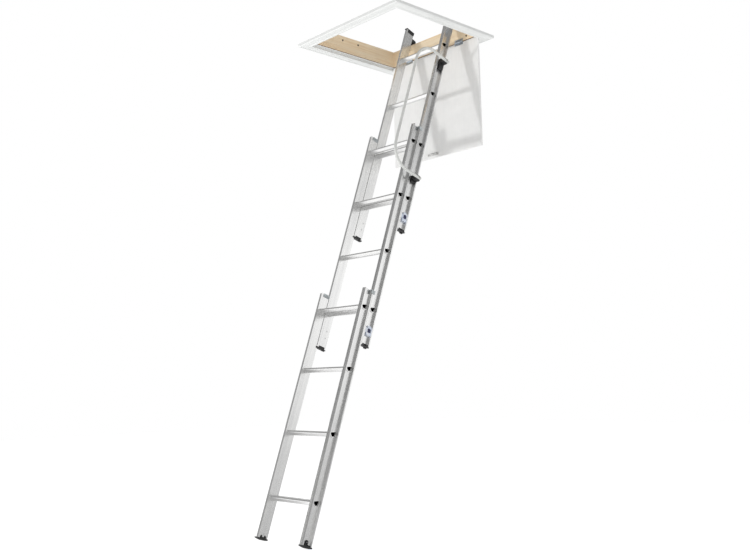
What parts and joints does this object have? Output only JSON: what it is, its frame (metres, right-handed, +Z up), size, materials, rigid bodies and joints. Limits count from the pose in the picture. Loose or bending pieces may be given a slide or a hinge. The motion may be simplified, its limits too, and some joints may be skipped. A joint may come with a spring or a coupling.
{
  "type": "attic ladder",
  "caption": "Sliding three-section aluminium attic ladder with a handrail, hung from a plywood-lined ceiling hatch with white trim and a hinged door.",
  "frame": {"origin": "centre of the clear hatch opening, level with the ceiling underside (the top face of the trim)", "axes": "+Z up into the attic; +Y towards the hinge and pivot side of the hatch; +X along the rungs, to the right of a climber facing the ladder"},
  "size_m": [0.686, 1.055, 2.4418],
  "materials": {
    "plywood_lining": "satin, sawn top and bottom edges darker",
    "white_trim": "white satin paint",
    "white_door": "white satin foil",
    "stile_aluminium": "mill finish, drawn lengthwise",
    "rung_aluminium": "mill finish, ribbed tread",
    "handrail_tube": "pale grey satin",
    "foot_rubber": "matt",
    "black_plastic": "satin",
    "grey_plastic": "matt",
    "catch_housing_plastic": "satin, pale blue white",
    "catch_plunger_plastic": "satin, navy",
    "spring_steel": "bright",
    "zinc_steel": "zinc plated",
    "screw_steel": "zinc plated",
    "rivet_aluminium": "satin"
  },
  "bodies": {
    "hatch": {"hatch_screws": "screw_steel", "hinge_fixed_leaves": "zinc_steel", "hinge_pins": "zinc_steel", "latch_keeper": "black_plastic", "lining_board_front": "plywood_lining", "lining_board_hinge_side": "plywood_lining", "lining_board_left": "plywood_lining", "lining_board_right": "plywood_lining", "lining_screws": "screw_steel", "pivot_brackets": "zinc_steel", "pivot_pins": "zinc_steel", "trim_front": "white_trim", "trim_hinge_side": "white_trim", "trim_left": "white_trim", "trim_right": "white_trim"},
    "door": {"door_panel": "white_door", "door_screws": "screw_steel", "hinge_door_leaves": "zinc_steel", "latch_striker": "zinc_steel"},
    "swivel": {"swivel_guides": "black_plastic"},
    "upper": {"handrail": "handrail_tube", "handrail_brackets": "black_plastic", "handrail_screws": "screw_steel", "upper_bottom_caps": "black_plastic", "upper_catch_housings": "catch_housing_plastic", "upper_catch_springs": "spring_steel", "upper_rivets": "rivet_aluminium", "upper_rung_1": "rung_aluminium", "upper_rung_2": "rung_aluminium", "upper_rung_3": "rung_aluminium", "upper_rung_4": "rung_aluminium", "upper_stile_left": "stile_aluminium", "upper_stile_right": "stile_aluminium", "upper_top_caps": "black_plastic"},
    "upper_catch_right": {"upper_catch_plunger_right": "catch_plunger_plastic"},
    "upper_catch_left": {"upper_catch_plunger_left": "catch_plunger_plastic"},
    "middle": {"middle_bottom_caps": "black_plastic", "middle_catch_housings": "catch_housing_plastic", "middle_catch_springs": "spring_steel", "middle_rivets": "rivet_aluminium", "middle_rung_1": "rung_aluminium", "middle_rung_2": "rung_aluminium", "middle_rung_3": "rung_aluminium", "middle_rung_4": "rung_aluminium", "middle_stile_left": "stile_aluminium", "middle_stile_right": "stile_aluminium", "middle_stop_lugs": "rivet_aluminium", "middle_top_guides": "grey_plastic"},
    "middle_catch_right": {"middle_catch_plunger_right": "catch_plunger_plastic"},
    "middle_catch_left": {"middle_catch_plunger_left": "catch_plunger_plastic"},
    "lower": {"feet": "foot_rubber", "foot_rivets": "rivet_aluminium", "lower_rung_1": "rung_aluminium", "lower_rung_2": "rung_aluminium", "lower_rung_3": "rung_aluminium", "lower_rung_4": "rung_aluminium", "lower_stile_left": "stile_aluminium", "lower_stile_right": "stile_aluminium", "lower_stop_lugs": "rivet_aluminium", "lower_top_guides": "grey_plastic"}
  },
  "joints": [
    {"name": "pivot_tilt", "type": "hinge", "parent": "hatch", "child": "swivel", "pos_m": [0, 0.2786, 0.1], "axis": [-1, 0, 0], "range_deg": [0, 32]},
    {"name": "upper_slide", "type": "slide", "parent": "swivel", "child": "upper", "axis": [0, 0.3305, 0.9438], "range_m": [0, 0.85]},
    {"name": "middle_slide", "type": "slide", "parent": "upper", "child": "middle", "axis": [0, 0.3305, 0.9438], "range_m": [0, 0.52]},
    {"name": "lower_slide", "type": "slide", "parent": "middle", "child": "lower", "axis": [0, 0.3305, 0.9438], "range_m": [0, 0.8]},
    {"name": "door_hinge", "type": "hinge", "parent": "hatch", "child": "door", "pos_m": [0, 0.264, 0.0022], "axis": [-1, 0, 0], "range_deg": [-5, 14]},
    {"name": "upper_catch_right_slide", "type": "slide", "parent": "upper", "child": "upper_catch_right", "axis": [0, 0.9438, -0.3305], "range_m": [0, 0.005], "stiffness_N_per_m": 400, "springref_m": -0.01, "deforming": ["upper_catch_springs"]},
    {"name": "upper_catch_left_slide", "type": "slide", "parent": "upper", "child": "upper_catch_left", "axis": [0, 0.9438, -0.3305], "range_m": [0, 0.005], "stiffness_N_per_m": 400, "springref_m": -0.01, "deforming": ["upper_catch_springs"]},
    {"name": "middle_catch_right_slide", "type": "slide", "parent": "middle", "child": "middle_catch_right", "axis": [0, 0.9438, -0.3305], "range_m": [0, 0.005], "stiffness_N_per_m": 400, "springref_m": -0.01, "deforming": ["middle_catch_springs"]},
    {"name": "middle_catch_left_slide", "type": "slide", "parent": "middle", "child": "middle_catch_left", "axis": [0, 0.9438, -0.3305], "range_m": [0, 0.005], "stiffness_N_per_m": 400, "springref_m": -0.01, "deforming": ["middle_catch_springs"]}
  ]
}
